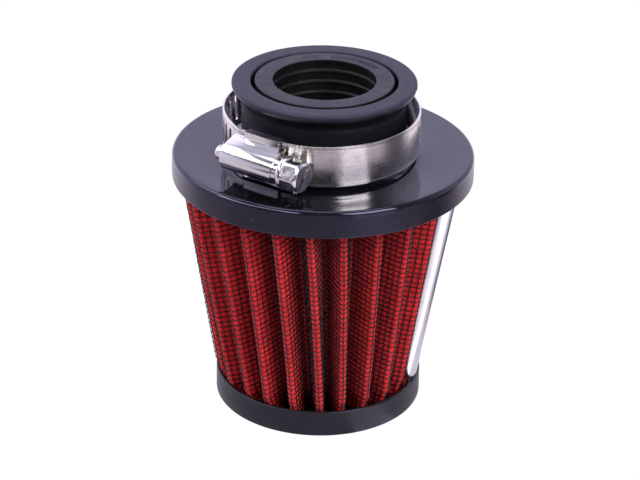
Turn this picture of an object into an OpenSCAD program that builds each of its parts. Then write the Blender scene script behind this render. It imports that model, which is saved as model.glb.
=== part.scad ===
// Cone air filter with a clamp-on rubber neck, for a small engine's carburettor.
// Millimetres. The part stands on its small end cap: z = 0 is the cap's underside,
// +Z runs up the axis of the neck, and -Y is the front.

/* [Neck and flange] */
// Overall height
total_h = 94.6; // [94.6:0.1:96]
// Radius of the lip round the mouth of the neck
lip_r = 25.1; // [24.5:0.1:25.6]
// Outer radius of the neck between lip and flange
neck_r = 22.4; // [22.2:0.1:22.8]
// Radius of the moulded bore that takes the adapter
socket_r = 20.0; // [20:0.1:20.3]
// Outer radius of the flange
flange_r = 41.4; // [41.2:0.1:43]
// Height of the flange's top face above the base
flange_top = 74.1; // [74:0.1:74.3]
// Height of the flange's side wall
flange_h = 7.0; // [6.8:0.1:7.4]

/* [Adapter ring] */
// Radius of the bore that goes over the carburettor's spigot
bore_r = 14.0; // [12:0.5:15]
// Outer radius of the adapter at its face
adapter_r = 18.85; // [18.5:0.05:19]
// Spacing of the sealing ribs inside the bore
rib_pitch = 3.2; // [2.8:0.1:3.2]

/* [Bottom cap] */
// Outer radius of the bottom cap
cap_r = 28.9; // [28.9:0.1:30]
// Height of the bottom cap
cap_h = 7.6; // [7:0.1:7.7]
// Wall of the bottom cap
cap_wall = 1.0; // [0.8:0.05:1.0]

/* [Pleated element] */
// Radius over the pleats just above the bottom cap
pack_r_low = 28.75; // [28:0.05:29]
// Radius over the pleats under the flange
pack_r_high = 38.6; // [38:0.05:38.6]
// Depth of a pleat
pleat_depth = 8.4; // [7:0.1:8.6]
// How far the element sits off the axis of the caps
pack_dx = -1.1; // [-1.1:0.1:0]

/* [Hose clamp] */
// Width of the band
band_w = 11.6; // [11:0.1:12]
// Thickness of the band
band_t = 0.55; // [0.5:0.05:0.55]
// Outer radius of the loose band
band_r = 26.9; // [26.9:0.1:27]
// Height of the band's middle above the base
clamp_z = 81.1; // [81.1:0.05:81.5]
// Direction of the clamp's screw housing, from the front, to the left
clamp_az = -35; // [-60:1:60]
// Spacing of the slots in the band
slot_pitch = 3.4; // [3.3:0.1:3.5]
// Size across the flats of the screw's head
hex_af = 7; // [6:0.5:8]

/* [Hidden] */
$fn = 96;

flange_bot = flange_top - flange_h;      // lower edge of the flange's skirt
skirt_in = 40.0;                         // inside of the flange's skirt
seat_z = flange_top - 3.5;               // underside of the flange's plate
ledge_z = 79.0;                          // shoulder that the adapter stands on
throat_r = 16.5;                         // hole through the shoulder and plate
cap_floor = 1.6;                         // floor of the bottom cap

// heights of the element's rings, and the radius over its pleats at each
pack_z = [3.0, 7.8, 10.8, 69.4];
pack_r = [26.0, 26.5, pack_r_low, pack_r_high];
pack_valley = [pack_r[0] - 8.0, pack_r[1] - 8.0, pack_r_low - pleat_depth + 0.1, pack_r_high - pleat_depth - 0.2];

// directions of the pleats from the front, to the right, at the top and the bottom;
// number 8 is the seam, where the two ends of the pleated strip meet
az_top = [-48, -32.2, -17.9, -3.5, 10.3, 25.9, 41.3, 59.3, 77, 90.5, 104, 118, 131.5,
          145, 159, 172.5, 186, 200, 213.5, 227, 241, 254.5, 268, 281.5, 295.1];
az_bot = [-42, -28.4, -12.3, 3.5, 16.5, 31.5, 45.5, 61.5, 73, 88, 102, 116.5, 131,
          145, 159.5, 173.5, 188, 202.5, 216.5, 231, 245.5, 259.5, 274, 288, 301.8];
n_pleat = 25;
seam = 8;

peak_a = 1.25;      // radius of a pleat's crest
seam_a = 1.25;      // radius of the seam's crest
valley_b = 0.35;    // radius at the bottom of a valley
mesh_t = 0.32;      // outer wire mesh
gauze_t = 0.48;     // cotton gauze
inner_t = 0.24;     // inner wire mesh
gap_t = 0.02;       // the layers lie this close

// ---- pleat geometry -------------------------------------------------------

function unit(v) = v / norm(v);
function dirv(a) = [sin(a), -cos(a)];            // direction at azimuth a
function rotv(v, a) = [v[0] * cos(a) - v[1] * sin(a), v[0] * sin(a) + v[1] * cos(a)];
function lerp(a, b, f) = a + (b - a) * f;
function zf(z) = (z - pack_z[0]) / (pack_z[3] - pack_z[0]);
function along(z, v) = z <= pack_z[1] ? lerp(v[0], v[1], (z - pack_z[0]) / (pack_z[1] - pack_z[0]))
                     : z <= pack_z[2] ? lerp(v[1], v[2], (z - pack_z[1]) / (pack_z[2] - pack_z[1]))
                     : lerp(v[2], v[3], (z - pack_z[2]) / (pack_z[3] - pack_z[2]));
function kk(k) = (k + n_pleat) % n_pleat;
function turn(k) = k < 0 ? -360 : k >= n_pleat ? 360 : 0;
function az(k, z) = lerp(az_bot[kk(k)], az_top[kk(k)], zf(z)) + turn(k);
function azv(k, z) = (az(k, z) + az(k + 1, z)) / 2;
function r_adj(k) = k == 9 ? -1.2 : k == 10 ? -0.8 : k == 11 ? -0.3 : 0.22 * sin(137 * k + 20);
function crest(k) = kk(k) == seam ? seam_a : peak_a;
// centres of a crest's and a valley's arcs
function cp(k, z) = (along(z, pack_r) + r_adj(kk(k)) - crest(k)) * dirv(az(k, z));
function cv(k, z) = (along(z, pack_valley) + valley_b) * dirv(azv(k, z));
// outward normal of the flank between crest k and the valley on its side s (+1 right, -1 left)
function flank_n(k, s, z) = let (c = cp(k, z), v = cv(s > 0 ? k : k - 1, z), d = v - c,
                                 b = acos((crest(k) + valley_b) / norm(d)))
                            rotv(unit(d), s > 0 ? -b : b);
function turn_of(v, w) = atan2(v[0] * w[1] - v[1] * w[0], v[0] * w[0] + v[1] * w[1]);
// points of crest k at depth t below the outer surface, from its left flank to its right
function crest_pts(k, z, t) = let (c = cp(k, z), e = dirv(az(k, z)),
                                   bl = turn_of(e, flank_n(k, -1, z)), br = turn_of(e, flank_n(k, 1, z)))
    [for (i = [-3:3]) c + (crest(k) - t) * rotv(e, i < 0 ? -i / 3 * bl : i / 3 * br)];
// points of the valley to the right of crest k
function valley_pts(k, z, t) = let (c = cv(k, z), e = -dirv(azv(k, z)),
                                    bl = turn_of(e, -flank_n(k, 1, z)), br = turn_of(e, -flank_n(k + 1, -1, z)))
    [for (i = [-2:2]) c + (valley_b + t) * rotv(e, i < 0 ? -i / 2 * bl : i / 2 * br)];
function ring(z, t) = [for (k = [0:n_pleat - 1])
    each concat([for (p = crest_pts(k, z, t)) [p[0], p[1], z]], [for (p = valley_pts(k, z, t)) [p[0], p[1], z]])];

// one closed layer of the element between depths t0 and t1
module pleat_layer(t0, t1) {
    m = n_pleat * 12;
    nz = len(pack_z);
    pts = concat([for (z = pack_z) each ring(z, t0)], [for (z = pack_z) each ring(z, t1)]);
    function o(r, i) = r * m + i % m;
    function q(r, i) = nz * m + r * m + i % m;
    faces = concat(
        [for (r = [0:nz - 2]) for (i = [0:m - 1]) [o(r, i), o(r + 1, i), o(r + 1, i + 1), o(r, i + 1)]],
        [for (r = [0:nz - 2]) for (i = [0:m - 1]) [q(r, i), q(r, i + 1), q(r + 1, i + 1), q(r + 1, i)]],
        [for (i = [0:m - 1]) [o(0, i), o(0, i + 1), q(0, i + 1), q(0, i)]],
        [for (i = [0:m - 1]) [o(nz - 1, i), q(nz - 1, i), q(nz - 1, i + 1), o(nz - 1, i + 1)]]);
    translate([pack_dx, 0, 0]) polyhedron(points = pts, faces = faces, convexity = 10);
}

// ---- moulded parts ---------------------------------------------------------

// Neck, lip and flange in one moulding: a socket for the adapter, a shoulder,
// a plate over the element and a skirt round its top edge
module top_flange() color([0.10, 0.10, 0.11]) rotate_extrude(convexity = 6) polygon(concat(
    [[throat_r, seat_z], [throat_r, ledge_z], [socket_r, ledge_z], [socket_r, total_h - 0.4],
     [socket_r + 0.4, total_h], [lip_r - 0.35, total_h], [lip_r - 0.1, total_h - 0.12],
     [lip_r, total_h - 0.4], [lip_r, total_h - 1.1]],
    // hollow under the lip
    [for (a = [0:15:90]) [neck_r + (lip_r - neck_r) * (1 - sin(a)), total_h - 1.1 - 2.4 * (1 - cos(a))]],
    // wide hollow at the foot of the neck
    [for (i = [0:12]) let (u = i / 12) [neck_r + 8.4 * u, flange_top + 3.7 * pow(1 - u, 4)]],
    // rolled upper edge
    [for (a = [0:15:90]) [flange_r - 3.2 * (1 - sin(a)), flange_top - 1.3 * (1 - cos(a))]],
    [[flange_r, flange_bot + 0.5], [flange_r - 0.15, flange_bot + 0.15], [flange_r - 0.5, flange_bot],
     [skirt_in + 0.2, flange_bot], [skirt_in, flange_bot + 0.2], [skirt_in, seat_z]]));

// Rubber reducer that drops into the socket: a flush face, three gripping ribs
// outside, and sealing ribs inside its bore
module adapter_ring() color([0.14, 0.14, 0.15]) rotate_extrude(convexity = 6) polygon(concat(
    [[bore_r, total_h], [adapter_r - 0.2, total_h], [adapter_r, total_h - 0.2], [adapter_r, total_h - 4.2]],
    [for (i = [0:2]) each let (z = total_h - 4.2 - i * 3.6)
        [[adapter_r + 1.05, z - 0.9], [adapter_r + 1.05, z - 1.6], [adapter_r, z - 2.0], [adapter_r, z - 3.2]]],
    [[adapter_r, ledge_z + 0.3], [adapter_r - 0.3, ledge_z], [bore_r, ledge_z]],
    [for (i = [4:-1:1]) each let (z = total_h - i * rib_pitch)
        [[bore_r, z - 0.35], [bore_r, z], [bore_r + 0.15, z + 0.25], [bore_r + 0.45, z + 0.4], [bore_r + 0.45, z + rib_pitch - 0.8]]],
    [[bore_r, total_h - 0.5]]));

// Thin-walled cup over the small end
module bottom_cap() color([0.13, 0.13, 0.14]) rotate_extrude(convexity = 4) polygon(concat(
    [[0, 0]],
    [for (a = [0:15:90]) [cap_r - 1.2 * (1 - sin(a)), 1.2 * (1 - cos(a))]],
    [[cap_r, cap_h - 0.3], [cap_r - 0.12, cap_h - 0.08], [cap_r - 0.35, cap_h],
     [cap_r - cap_wall + 0.15, cap_h], [cap_r - cap_wall, cap_h - 0.15],
     [cap_r - cap_wall, cap_floor], [0, cap_floor]]));

// ---- pleated element -------------------------------------------------------

module outer_mesh() color([0.70, 0.12, 0.13]) pleat_layer(0, mesh_t);
module gauze_media() color([0.62, 0.10, 0.12]) pleat_layer(mesh_t + gap_t, mesh_t + gap_t + gauze_t);
module inner_mesh() color([0.55, 0.55, 0.57])
    pleat_layer(mesh_t + gauze_t + 2 * gap_t, mesh_t + gauze_t + 2 * gap_t + inner_t);

// Metal strip folded over the crest where the two ends of the element meet
module seam_clip() {
    zs = [7.9, 8.6, 10.8, 69.3];
    reach = [0.25, 0.36, 0.42, 0.42];     // how far down the flanks it goes
    function half(i, t) = let (z = zs[i], e = crest_pts(seam, z, t), v0 = valley_pts(seam - 1, z, t),
                               v1 = valley_pts(seam, z, t), f = reach[i])
        concat([lerp(e[0], v0[4], f)], e, [lerp(e[6], v1[0], f)]);
    m = 9;
    pts = concat([for (i = [0:3]) each [for (p = half(i, -0.75)) [p[0], p[1], zs[i]]]],
                 [for (i = [0:3]) each [for (p = half(i, -0.25)) [p[0], p[1], zs[i]]]]);
    function o(r, i) = r * m + i;
    function q(r, i) = 4 * m + r * m + i;
    faces = concat(
        [for (r = [0:2]) for (i = [0:m - 2]) [o(r, i), o(r + 1, i), o(r + 1, i + 1), o(r, i + 1)]],
        [for (r = [0:2]) for (i = [0:m - 2]) [q(r, i), q(r, i + 1), q(r + 1, i + 1), q(r + 1, i)]],
        [for (i = [0:m - 2]) [o(0, i), o(0, i + 1), q(0, i + 1), q(0, i)]],
        [for (i = [0:m - 2]) [o(3, i), q(3, i), q(3, i + 1), o(3, i + 1)]],
        [for (r = [0:2]) [o(r, 0), q(r, 0), q(r + 1, 0), o(r + 1, 0)]],
        [for (r = [0:2]) [o(r, m - 1), o(r + 1, m - 1), q(r + 1, m - 1), q(r, m - 1)]]);
    color([0.85, 0.85, 0.87]) translate([pack_dx, 0, 0]) polyhedron(points = pts, faces = faces, convexity = 4);
}

// Adhesive that bonds the element's ends into the flange and the cap
module top_potting() color([0.16, 0.15, 0.15]) translate([0, 0, pack_z[3]]) difference() {
    cylinder(r = skirt_in, h = seat_z - pack_z[3]);
    translate([0, 0, -1]) cylinder(r = 24, h = 4);
}
module bottom_potting() color([0.16, 0.15, 0.15])
    translate([0, 0, cap_floor]) cylinder(r = cap_r - cap_wall, h = pack_z[0] - cap_floor);

// ---- hose clamp ------------------------------------------------------------

clamp_c = [-0.57, -0.6];                 // the loose band hangs a little off the neck's axis
flat_q = 16.4;                           // centre of the flatter arc under the housing lies this far behind
flat_a = 23;                             // the flatter arc ends this far round from the housing
jog_a = 30;                              // the free end leaves the main arc here
flat_in = norm([(band_r - band_t) * cos(flat_a) + flat_q, (band_r - band_t) * sin(flat_a)]);
flat_out = norm([band_r * cos(flat_a) + flat_q, band_r * sin(flat_a)]);
tail_in = flat_out + 0.05;               // the free end lies on the fixed one
tail_out = tail_in + band_t;
sheet = 0.75;                            // sheet of the housing
skirt_t = 0.6;                           // sheet of its skirts, drawn thinner
crest_r = 3.0;                           // thread envelope of the screw
screw_n = tail_out - flat_q + 0.42 + crest_r;   // distance of the screw from the band's centre
shell_in = crest_r + 0.12;
flank_w = 4.95;                          // half width at the foot of the housing's sloping flanks
shell_out = shell_in + sheet;
half_w = band_w / 2;
barrel_y0 = -9.0;                        // the housing's barrel runs from here
barrel_y1 = 7.5;                         // to here

// local frame of the clamp: +X out through the housing, +Y along the screw to its head
module at_clamp() translate([clamp_c[0], clamp_c[1], clamp_z]) rotate([0, 0, clamp_az - 90]) children();
// ring sector of the band, about the local Z axis
module sector(r0, r1, a0, a1) rotate([0, 0, a0]) rotate_extrude(angle = a1 - a0)
    translate([r0, -half_w]) square([r1 - r0, band_w]);
module slot() rotate([5, 0, 0]) cube([4, 1.3, 7.6], center = true);

module clamp_band() color([0.76, 0.76, 0.77]) at_clamp() {
    jog_y = -9.0;
    jog_e = asin(jog_y / tail_out) + 0.05;
    seg = asin(12.6 / tail_out);
    // free end over the fixed one, slotted for the screw
    difference() {
        translate([-flat_q, 0, 0]) sector(tail_in, tail_out, asin(jog_y / tail_out), seg);
        for (i = [0:5]) translate([-flat_q, 0, 0])
            rotate([0, 0, seg - (3.4 + i * slot_pitch) / tail_out * 180 / PI]) translate([tail_out, 0, 0]) slot();
    }
    // straight run from the main arc up to the free end
    difference() {
        translate([0, 0, -half_w]) linear_extrude(band_w) polygon([
            [(band_r - band_t + 0.03) * cos(jog_a + 0.3), -(band_r - band_t + 0.03) * sin(jog_a + 0.3)],
            [-flat_q + (tail_in + 0.03) * cos(jog_e), (tail_in + 0.03) * sin(jog_e)],
            [-flat_q + (tail_out - 0.03) * cos(jog_e), (tail_out - 0.03) * sin(jog_e)],
            [(band_r - 0.03) * cos(jog_a + 0.3), -(band_r - 0.03) * sin(jog_a + 0.3)]]);
        translate([24.5, -11.25, 0]) rotate([0, 0, -30]) slot();
    }
    // main arc
    difference() {
        sector(band_r - band_t, band_r, flat_a, 360 - jog_a);
        for (i = [0:12]) rotate([0, 0, -jog_a - 3.4 - i * slot_pitch / band_r * 180 / PI])
            translate([band_r, 0, 0]) slot();
    }
    // fixed end under the housing
    translate([-flat_q, 0, 0]) sector(flat_in, flat_out, -asin(8.0 / flat_out), asin((band_r * sin(flat_a) + 0.01) / flat_out));
}

// outline of the housing across the screw: X out, Y up. A round back with sloping flanks
module housing_outline(n, r, w) hull() {
    translate([screw_n, 0]) circle(r = r);
    translate([n, -w]) square([0.2, 2 * w]);
}
module housing_section(n0) {
    difference() {
        housing_outline(n0, shell_out, flank_w);
        housing_outline(n0 - 1, shell_in, flank_w - 0.62);
    }
}
module clamp_housing() {
    n0 = tail_out - flat_q + 0.06;        // underside of the shoulders
    color([0.80, 0.80, 0.81]) at_clamp() {
        difference() {
            union() {
                // barrel
                translate([0, barrel_y1, 0]) rotate([90, 0, 0]) linear_extrude(barrel_y1 - barrel_y0, convexity = 6) housing_section(n0);
                // end walls round the screw's journals
                for (y = [barrel_y1, barrel_y0 + 0.8]) translate([0, y, 0]) rotate([90, 0, 0])
                    linear_extrude(0.8) intersection() {
                        housing_outline(n0 - 1, shell_in + 0.2, flank_w - 0.42);
                        translate([n0, -6]) square([12, 12]);
                    }
                // drawn collar round the screw's neck
                translate([screw_n, barrel_y1 + 1.4, 0]) rotate([90, 0, 0]) cylinder(r = 3.4, h = 1.6);
                // shoulders and skirts that wrap the band
                translate([0, 5.6, 0]) rotate([90, 0, 0]) linear_extrude(11.1, convexity = 6) {
                    for (s = [-1, 1]) {
                        translate([n0, s > 0 ? flank_w - 0.6 : -half_w - 0.1 - skirt_t]) square([sheet, half_w + 0.7 + skirt_t - flank_w]);
                        translate([20, s > 0 ? half_w + 0.1 : -half_w - 0.1 - skirt_t]) square([n0 + 0.3 - 20, skirt_t]);
                    }
                }
            }
            // trimmed to the saddle's curve, and bored for the screw's journals
            translate([-flat_q, 0, -8]) cylinder(r = flat_in - 0.45, h = 16, $fn = 180);
            translate([screw_n, 10, 0]) rotate([90, 0, 0]) cylinder(r = 2.65, h = 4);
            translate([screw_n, barrel_y0 + 2, 0]) rotate([90, 0, 0]) cylinder(r = 2.05, h = 4);
            translate([screw_n, barrel_y1 - 0.8, 0]) rotate([90, 0, 0]) cylinder(r = shell_in, h = barrel_y1 - barrel_y0 - 1.6);
            translate([n0 - 1, barrel_y0 + 0.8, -shell_in]) cube([screw_n - n0 + 1, barrel_y1 - barrel_y0 - 1.6, 2 * shell_in]);
        }
    }
}

// Curved plate under the band that the skirts are crimped round
module clamp_saddle() color([0.72, 0.72, 0.73]) at_clamp() translate([-flat_q, 0, 0])
    intersection() {
        rotate([0, 0, -12]) rotate_extrude(angle = 24)
            translate([flat_in - 0.70, -half_w - 0.08]) square([0.66, band_w + 0.16]);
        translate([30, -5.5, -10]) cube([20, 11.1, 20]);
    }

// Worm screw: hexagon head with a collar and a driver slot, thread envelope and two journals
module clamp_screw() color([0.84, 0.84, 0.83]) at_clamp() translate([screw_n, 0, 0]) rotate([-90, 0, 0]) {
    difference() {
        union() {
            translate([0, 0, 10.6]) intersection() {
                cylinder(r = hex_af / sqrt(3), h = 4.6, $fn = 6);
                union() {
                    cylinder(r = hex_af / 2 + 0.7, h = 3.9);
                    translate([0, 0, 3.9]) cylinder(r1 = hex_af / 2 + 0.7, r2 = hex_af / 2 - 0.25, h = 0.7);
                }
            }
            translate([0, 0, 9.3]) cylinder(r1 = 4.1, r2 = 4.35, h = 0.4);
            translate([0, 0, 9.7]) cylinder(r = 4.35, h = 0.5);
            translate([0, 0, 10.2]) cylinder(r1 = 4.35, r2 = 3.95, h = 0.5);
        }
        // driver slot
        rotate([0, 0, 51]) translate([-6, -0.6, 13.8]) cube([12, 1.2, 3]);
    }
    // neck, worm and tip
    translate([0, 0, 6.4]) cylinder(r = 2.58, h = 3.0);
    translate([0, 0, barrel_y0 + 1.0]) cylinder(r = crest_r, h = 14.5);
    translate([0, 0, -11.6]) cylinder(r = 2.0, h = 3.7);
    translate([0, 0, -12.1]) cylinder(r1 = 1.55, r2 = 2.0, h = 0.5);
}

top_flange();
adapter_ring();
bottom_cap();
outer_mesh();
gauze_media();
inner_mesh();
seam_clip();
top_potting();
bottom_potting();
clamp_band();
clamp_housing();
clamp_saddle();
clamp_screw();
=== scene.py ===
import math

import bpy
import bmesh
import numpy as np
from mathutils import Matrix, Vector


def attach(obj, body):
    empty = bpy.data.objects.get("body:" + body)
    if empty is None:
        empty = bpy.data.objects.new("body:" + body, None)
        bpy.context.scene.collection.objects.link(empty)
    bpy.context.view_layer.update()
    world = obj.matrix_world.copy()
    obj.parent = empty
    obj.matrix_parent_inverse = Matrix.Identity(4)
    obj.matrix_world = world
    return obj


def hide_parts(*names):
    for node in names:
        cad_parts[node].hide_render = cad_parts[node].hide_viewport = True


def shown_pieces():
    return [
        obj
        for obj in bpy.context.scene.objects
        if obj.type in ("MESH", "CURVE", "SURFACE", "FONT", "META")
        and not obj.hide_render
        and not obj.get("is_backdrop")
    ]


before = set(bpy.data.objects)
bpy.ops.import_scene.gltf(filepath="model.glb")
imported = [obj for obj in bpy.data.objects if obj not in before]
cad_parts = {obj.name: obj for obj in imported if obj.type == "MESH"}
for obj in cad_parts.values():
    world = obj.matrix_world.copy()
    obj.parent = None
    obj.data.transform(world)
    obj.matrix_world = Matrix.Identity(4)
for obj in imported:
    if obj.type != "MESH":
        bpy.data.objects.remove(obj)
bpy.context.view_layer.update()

MM = 0.001
rng = np.random.default_rng(7)


# ---------------------------------------------------------------- mesh helpers
def make(name, V, faces, mat, body="filter", rep=(), smooth=True, angle=None):
    """A mesh piece from points in millimetres and arrays of faces."""
    faces = [np.asarray(f, np.int32) for f in faces if len(f)]
    me = bpy.data.meshes.new(name)
    V = np.asarray(V, float) * MM
    loops = np.concatenate([f.ravel() for f in faces])
    counts = np.concatenate([np.full(len(f), f.shape[1], np.int32) for f in faces])
    starts = np.concatenate([[0], np.cumsum(counts)[:-1]]).astype(np.int32)
    me.vertices.add(len(V))
    me.vertices.foreach_set("co", V.astype(np.float32).ravel())
    me.loops.add(len(loops))
    me.loops.foreach_set("vertex_index", loops)
    me.polygons.add(len(counts))
    me.polygons.foreach_set("loop_start", starts)
    me.update(calc_edges=True)
    me.validate()
    me.polygons.foreach_set("use_smooth", np.full(len(me.polygons), smooth, bool))
    if angle is not None:
        me.set_sharp_from_angle(angle=math.radians(angle))
    me.update()
    ob = bpy.data.objects.new(name, me)
    bpy.context.scene.collection.objects.link(ob)
    ob.data.materials.append(mat)
    if rep:
        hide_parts(*rep)
    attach(ob, body)
    return ob


def grid_faces(nr, nc, wrap_r=False, wrap_c=True, base=0):
    """Quads of a grid whose point (r, c) has index base + r*nc + c."""
    r = np.arange(nr if wrap_r else nr - 1)
    c = np.arange(nc if wrap_c else nc - 1)
    R, C = np.meshgrid(r, c, indexing="ij")
    R, C = R.ravel(), C.ravel()
    a = R * nc + C
    b = R * nc + (C + 1) % nc
    d = ((R + 1) % nr) * nc + C
    e = ((R + 1) % nr) * nc + (C + 1) % nc
    return np.stack([a, b, e, d], -1) + base


def rounded(profile, radii, n=5):
    """A closed profile with its corners rounded. radii gives one radius for each corner."""
    P = [np.array(p, float) for p in profile]
    out = []
    for i, p in enumerate(P):
        r = radii[i] if isinstance(radii, (list, tuple)) else radii
        a, b = P[i - 1], P[(i + 1) % len(P)]
        u, v = a - p, b - p
        lu, lv = np.linalg.norm(u), np.linalg.norm(v)
        if r <= 0 or lu < 1e-9 or lv < 1e-9:
            out.append(p)
            continue
        u, v = u / lu, v / lv
        co = float(np.clip(u @ v, -1, 1))
        half = math.acos(co) / 2
        if half > math.radians(86):
            out.append(p)
            continue
        t = min(r / math.tan(half), 0.45 * lu, 0.45 * lv)
        rr = t * math.tan(half)
        bis = (u + v) / np.linalg.norm(u + v)
        c = p + bis * rr / math.sin(half)
        s, e = p + u * t, p + v * t
        a0 = math.atan2(*(s - c)[::-1])
        a1 = math.atan2(*(e - c)[::-1])
        d = (a1 - a0 + math.pi) % (2 * math.pi) - math.pi
        for k in range(n + 1):
            an = a0 + d * k / n
            out.append(c + rr * np.array([math.cos(an), math.sin(an)]))
    keep = [out[0]]
    for q in out[1:]:
        if np.linalg.norm(q - keep[-1]) > 1e-4:
            keep.append(q)
    if np.linalg.norm(keep[0] - keep[-1]) < 1e-4:
        keep.pop()
    return np.array(keep)


def split_long(profile, step):
    """Adds points along a closed profile's long straight runs."""
    out = []
    for i in range(len(profile)):
        a, b = profile[i], profile[(i + 1) % len(profile)]
        k = max(1, int(math.ceil(np.linalg.norm(b - a) / step)))
        for j in range(k):
            out.append(a + (b - a) * j / k)
    return np.array(out)


def lathe(profile, n=192, wobble=None):
    """Turns a closed (r, z) profile about Z. wobble(r, z, angle) moves radius and height."""
    th = np.arange(n) * 2 * math.pi / n
    V, idx = [], []
    for r, z in profile:
        if r < 1e-6:
            idx.append([len(V)] * n)
            V.append((0, 0, z))
        else:
            k = len(V)
            dr, dz = wobble(r, z, th) if wobble else (0 * th, 0 * th)
            for a, q, w in zip(th, dr, dz):
                V.append(((r + q) * math.cos(a), (r + q) * math.sin(a), z + w))
            idx.append(list(range(k, k + n)))
    m = len(profile)
    quads, tris = [], []
    for i in range(m):
        A, B = idx[i], idx[(i + 1) % m]
        for j in range(n):
            q = [A[j], A[(j + 1) % n], B[(j + 1) % n], B[j]]
            u = list(dict.fromkeys(q))
            if len(u) == 4:
                quads.append(q[::-1])
            elif len(u) == 3:
                tris.append(u[::-1])
    return np.array(V), [np.array(quads), np.array(tris)]


# ------------------------------------------------------------- node materials
def material(name):
    m = bpy.data.materials.new(name)
    m.use_nodes = True
    nt = m.node_tree
    bsdf = nt.nodes.get("Principled BSDF")
    return m, nt, bsdf


class G:
    """Short forms for building a node graph."""

    def __init__(self, nt):
        self.nt = nt
        self.tc = nt.nodes.new("ShaderNodeTexCoord")
        self.obj = self.tc.outputs["Object"]
        sx = nt.nodes.new("ShaderNodeSeparateXYZ")
        nt.links.new(self.obj, sx.inputs[0])
        self.x, self.y, self.z = sx.outputs

    def link(self, a, b):
        self.nt.links.new(a, b)

    def put(self, sock, v):
        if hasattr(v, "is_linked") or hasattr(v, "links"):
            self.link(v, sock)
        else:
            sock.default_value = v

    def math(self, op, a, b=0.0, c=None, clamp=False):
        n = self.nt.nodes.new("ShaderNodeMath")
        n.operation = op
        n.use_clamp = clamp
        self.put(n.inputs[0], a)
        self.put(n.inputs[1], b)
        if c is not None:
            self.put(n.inputs[2], c)
        return n.outputs[0]

    def noise(self, scale, detail=2.0, rough=0.5, vec=None, dist=0.0, out=0):
        n = self.nt.nodes.new("ShaderNodeTexNoise")
        n.inputs["Scale"].default_value = scale
        n.inputs["Detail"].default_value = detail
        n.inputs["Roughness"].default_value = rough
        n.inputs["Distortion"].default_value = dist
        self.link(vec or self.obj, n.inputs["Vector"])
        return n.outputs[out]

    def scaled(self, sx, sy, sz, vec=None):
        n = self.nt.nodes.new("ShaderNodeVectorMath")
        n.operation = "MULTIPLY"
        self.link(vec or self.obj, n.inputs[0])
        n.inputs[1].default_value = (sx, sy, sz)
        return n.outputs[0]

    def ramp(self, v, lo, hi, a=0.0, b=1.0, smooth=True):
        n = self.nt.nodes.new("ShaderNodeMapRange")
        n.interpolation_type = "SMOOTHSTEP" if smooth else "LINEAR"
        self.put(n.inputs["Value"], v)
        n.inputs["From Min"].default_value = lo
        n.inputs["From Max"].default_value = hi
        n.inputs["To Min"].default_value = a
        n.inputs["To Max"].default_value = b
        return n.outputs["Result"]

    def mix(self, f, a, b):
        n = self.nt.nodes.new("ShaderNodeMix")
        n.data_type = "RGBA"
        self.put(n.inputs[0], f)
        for s, v in ((n.inputs[6], a), (n.inputs[7], b)):
            if isinstance(v, tuple):
                s.default_value = (*v, 1.0) if len(v) == 3 else v
            else:
                self.link(v, s)
        return n.outputs[2]

    def bump(self, h, dist, strength=1.0, prev=None):
        n = self.nt.nodes.new("ShaderNodeBump")
        n.inputs["Strength"].default_value = strength
        n.inputs["Distance"].default_value = dist
        self.link(h, n.inputs["Height"])
        if prev is not None:
            self.link(prev, n.inputs["Normal"])
        return n.outputs[0]

    def radius(self):
        return self.math("SQRT", self.math("ADD", self.math("MULTIPLY", self.x, self.x), self.math("MULTIPLY", self.y, self.y)))


def mat_flange():
    m, nt, b = material("moulded_flange_rubber")
    g = G(nt)
    r = g.radius()
    # the flange's top face is glossy, the lip's face is matte and bloomed, walls are satin
    top = g.math("MULTIPLY", g.ramp(g.z, 0.0728, 0.0731), g.ramp(g.z, 0.0775, 0.0762))
    lip = g.ramp(g.z, 0.0928, 0.0942)
    skirt = g.ramp(r, 0.0400, 0.0412)
    grain = g.noise(2600, 3.0, 0.6)
    cloud = g.noise(95, 4.0, 0.55)
    base = g.mix(g.ramp(cloud, 0.35, 0.7), (0.0028, 0.0027, 0.0034), (0.0044, 0.0042, 0.0052))
    base = g.mix(skirt, base, g.mix(g.ramp(cloud, 0.3, 0.7), (0.0060, 0.0056, 0.0078), (0.0092, 0.0086, 0.0116)))
    neck = g.math("MULTIPLY", g.ramp(r, 0.0240, 0.0234), g.ramp(g.z, 0.0775, 0.0800))
    base = g.mix(neck, base, (0.0074, 0.0070, 0.0084))
    bloom = g.mix(g.ramp(g.noise(420, 4.0, 0.6), 0.3, 0.75), (0.017, 0.016, 0.0235), (0.025, 0.0235, 0.034))
    base = g.mix(lip, base, bloom)
    dust = g.ramp(g.noise(1500, 1.0, 0.5), 0.735, 0.775)
    base = g.mix(g.math("MULTIPLY", dust, 0.22), base, (0.30, 0.29, 0.32))
    g.link(base, b.inputs["Base Color"])
    ro = g.math("ADD", g.ramp(top, 0, 1, 0.37, 0.055, False), g.math("MULTIPLY", lip, 0.22))
    ro = g.math("ADD", ro, g.math("MULTIPLY", g.math("SUBTRACT", g.noise(260, 3.0, 0.5), 0.5), 0.10), clamp=True)
    g.link(ro, b.inputs["Roughness"])
    b.inputs["Specular Tint"].default_value = (0.66, 0.62, 1.0, 1.0)
    n1 = g.bump(g.noise(34, 2.0, 0.4), 0.00035, 0.18)
    n2 = g.bump(grain, 0.00002, 0.35, n1)
    g.link(n2, b.inputs["Normal"])
    return m


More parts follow.
